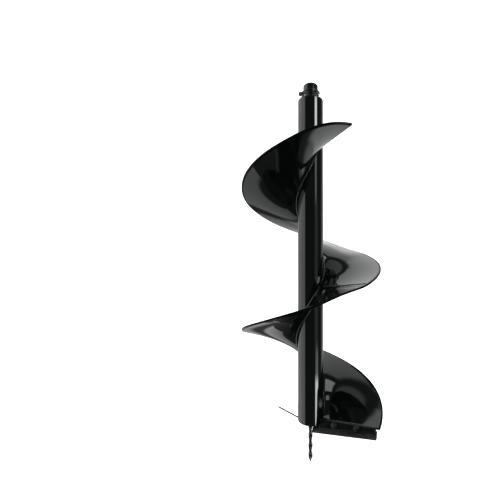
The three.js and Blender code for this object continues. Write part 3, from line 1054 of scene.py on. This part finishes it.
def build_fastening(place, number):
    """One of the blade's bolts with its washer and nut. Z at the place points out of the blade's face."""
    head_top = -BLADE_PLATE - GAP
    washer_bottom = GAP + HOLDER_PLATE + GAP
    washer_top = washer_bottom + WASHER_HEIGHT
    nut_bottom = washer_top + GAP
    nut_top = nut_bottom + NUT_HEIGHT

    head = hex_body("head", head_top - BOLT_HEAD_HEIGHT, head_top, crown=(True, False))
    thread_from = washer_bottom - 2 * MM
    shank = threaded_rod("shank", head_top - 2 * MM, nut_top + 2 * MM, BOLT_RADIUS - 0.02 * MM, thread_from)
    bolt = joined("bolt", [head, shank])

    inner = BOLT_RADIUS + GAP
    washer = turned("washer", [
        (inner, washer_bottom),
        (WASHER_RADIUS, washer_bottom),
        (WASHER_RADIUS, washer_top),
        (inner, washer_top),
    ], 0.35 * MM, 64)
    nut = hex_body("nut", nut_bottom, nut_top, BOLT_RADIUS + 0.1 * MM)

    for kind, mesh, sharp in (("bolt", bolt, 30), ("washer", washer, 35), ("nut", nut, 30)):
        name = f"blade_{kind}_{number}"
        mesh.transform(place)
        finish_piece(f"{name}_fine", mesh, BOLT_STEEL, replaces=name, sharp=sharp)


def build_short_blade():
    start = Vector((SHORT_INNER_REACH * math.cos(SHORT_PLAN_ANGLE),
                    SHORT_INNER_REACH * math.sin(SHORT_PLAN_ANGLE), SHORT_Z))
    place = blade_frame(start, SHORT_PLAN_ANGLE, SHORT_RISE, SHORT_RAKE)
    length = (SHORT_REACH - SHORT_INNER_REACH) / math.cos(SHORT_RISE)
    width = 2 * SHORT_HALF_WIDTH
    outline = [(0, 0), (length - SHORT_CORNER, 0), (length, SHORT_CORNER), (length, width), (0, width)]
    blade = flat_plate("short", outline, -SHORT_PLATE, SHORT_PLATE, (), 0.25 * MM)
    chiselled(blade, SHORT_PLATE, 5 * MM)
    blade.transform(place @ Matrix.Translation((0, -SHORT_HALF_WIDTH, SHORT_PLATE / 2)))
    blade = clear_of_shaft(blade)
    finish_piece("short_blade_fine", blade, BLADE_STEEL, replaces="short_blade")


# ---- Stage, light and camera -------------------------------------------------------------------


def build_stage():
    """A pale floor that curves up into a backdrop. It lights nothing and mirrors in nothing."""
    outline = [(FLOOR_FRONT, FLOOR_Z), (FLOOR_BACK, FLOOR_Z)]
    steps = 16
    for k in range(1, steps + 1):
        angle = math.pi / 2 * k / steps
        behind = FLOOR_BACK + FLOOR_CURVE * math.sin(angle)
        outline.append((behind, FLOOR_Z + FLOOR_CURVE * (1 - math.cos(angle))))
    outline.append((FLOOR_BACK + FLOOR_CURVE, FLOOR_TOP))
    mesh = bpy.data.meshes.new("floor")
    points = [(side * FLOOR_HALF_WIDTH, y, z) for side in (-1, 1) for y, z in outline]
    count = len(outline)
    faces = [(i, i + 1, count + i + 1, count + i) for i in range(count - 1)]
    mesh.from_pydata(points, [], faces)
    mesh.shade_smooth()
    material, _tree, shader = new_material("floor_white")
    shader.inputs["Base Color"].default_value = (0.9, 0.9, 0.9, 1)
    shader.inputs["Roughness"].default_value = 0.8
    shader.inputs["Emission Color"].default_value = (1, 1, 1, 1)
    shader.inputs["Emission Strength"].default_value = 0.95
    mesh.materials.append(material)
    floor = placed("floor", mesh)
    floor.visible_glossy = False
    floor.visible_diffuse = False
    floor.visible_shadow = False


# The studio that the enamel mirrors: (azimuth from, to, elevation from, to, softness, brightness).
# Azimuth 0 is towards the camera and grows to the right, in degrees. It ends at 180 and -180,
# so a panel behind the object has a half on each side.
STUDIO_PANELS = (
    (-112, -53, -33, 50, 3, 1.6),      # white wall on the left
    (-152, -112, -33, 50, 8, 0.95),    # the same wall further back
    (-206, -152, -29, 14, 4, 0.4),     # backdrop behind, low
    (-206, -152, 14, 62, 4, 1.35),     # backdrop behind, high, left half
    (162, 206, 14, 60, 6, 1.35),       # and its right half
    (120, 162, 14, 60, 6, 0.8),        # backdrop on the right, high
    (152, 206, -29, 14, 4, 0.85),      # backdrop on the right, low
    (108, 152, -26, 14, 8, 0.5),       # backdrop in the right corner
    (-190, -104, -62, -38, 4, 0.75),   # pale floor on the left
    (60, 140, -95, -50, 8, 0.4),       # pale floor on the right
    (-200, 200, 70, 95, 5, 0.5),       # ceiling
    (-125, -40, 54, 72, 4, 1.7),       # softbox over the left wall
    (54, 102, 43, 62, 3, 3.0),         # high softbox
    (36, 57, 22.5, 31, 3, 13.0),       # upper strip light
    (38, 55, 13, 22.5, 4, 1.9),        # its fading tail
    (41, 70, -30, -22, 2, 11.0),       # lower strip light
    (44, 70, -37, -30, 3, 4.0),        # its foot
    (44, 70, -22, -16.5, 3, 1.8),      # its fading top
    (36, 66, -16.5, 13, 4, 0.35),      # dim stretch between the strips
    (14, 34, 46, 56, 3, 2.6),          # small high light
)
STUDIO_GLOOM = 0.09                    # brightness of the rest of the room


def window(tree, value, low, high, soft):
    """1 between low and high, falling to 0 over soft degrees on each side."""
    edges = []
    for start, end in ((low - soft / 2, low + soft / 2), (high + soft / 2, high - soft / 2)):
        fit = add_node(tree, "ShaderNodeMapRange", interpolation_type="SMOOTHSTEP")
        fit.inputs["From Min"].default_value = start
        fit.inputs["From Max"].default_value = end
        tree.links.new(value, fit.inputs["Value"])
        edges.append(fit.outputs["Result"])
    return combine(tree, "MULTIPLY", *edges)


def build_light():
    """Soft panels all round for the enamel to mirror. What the camera itself sees past the floor is white."""
    world = bpy.data.worlds.new("studio")
    world.use_nodes = True
    tree = world.node_tree
    background = tree.nodes["Background"]
    background.inputs["Color"].default_value = (1, 1, 1, 1)
    place = add_node(tree, "ShaderNodeTexCoord")
    split = add_node(tree, "ShaderNodeSeparateXYZ")
    tree.links.new(place.outputs["Generated"], split.inputs["Vector"])
    x, y, z = split.outputs
    degrees = 180 / math.pi
    bearing = combine(tree, "ARCTAN2", x, combine(tree, "MULTIPLY", y, -1))
    azimuth = combine(tree, "MULTIPLY", bearing, degrees)
    elevation = combine(tree, "MULTIPLY", combine(tree, "ARCSINE", z), degrees)
    total = STUDIO_GLOOM
    for left, right, low, high, soft, brightness in STUDIO_PANELS:
        panel = combine(tree, "MULTIPLY", window(tree, azimuth, left, right, soft),
                        window(tree, elevation, low, high, soft))
        total = combine(tree, "ADD", combine(tree, "MULTIPLY", panel, brightness), total)
    rays = add_node(tree, "ShaderNodeLightPath")
    seen = combine(tree, "MAXIMUM", total, rays.outputs["Is Camera Ray"])
    tree.links.new(seen, background.inputs["Strength"])
    bpy.context.scene.world = world


def build_camera():
    """A level camera, with a shift that frames the object."""
    data = bpy.data.cameras.new("camera")
    data.sensor_width = 36
    data.lens = CAMERA_LENS
    data.shift_x = CAMERA_SHIFT_X
    data.shift_y = CAMERA_SHIFT_Y
    data.clip_start = 0.01
    camera = placed("camera", data)
    camera.location = CAMERA_PLACE
    camera.rotation_euler = (math.pi / 2, 0, 0)
    bpy.context.scene.camera = camera
    bpy.context.scene.view_settings.view_transform = "Standard"


build_camera()
build_stage()
build_light()
build_shaft()
build_drive_end()
build_ring_welds()
build_plug_and_collar()
build_pilot()
build_lock_pin()
build_lock_bail()
build_flights()
build_cutting_end()
build_short_blade()
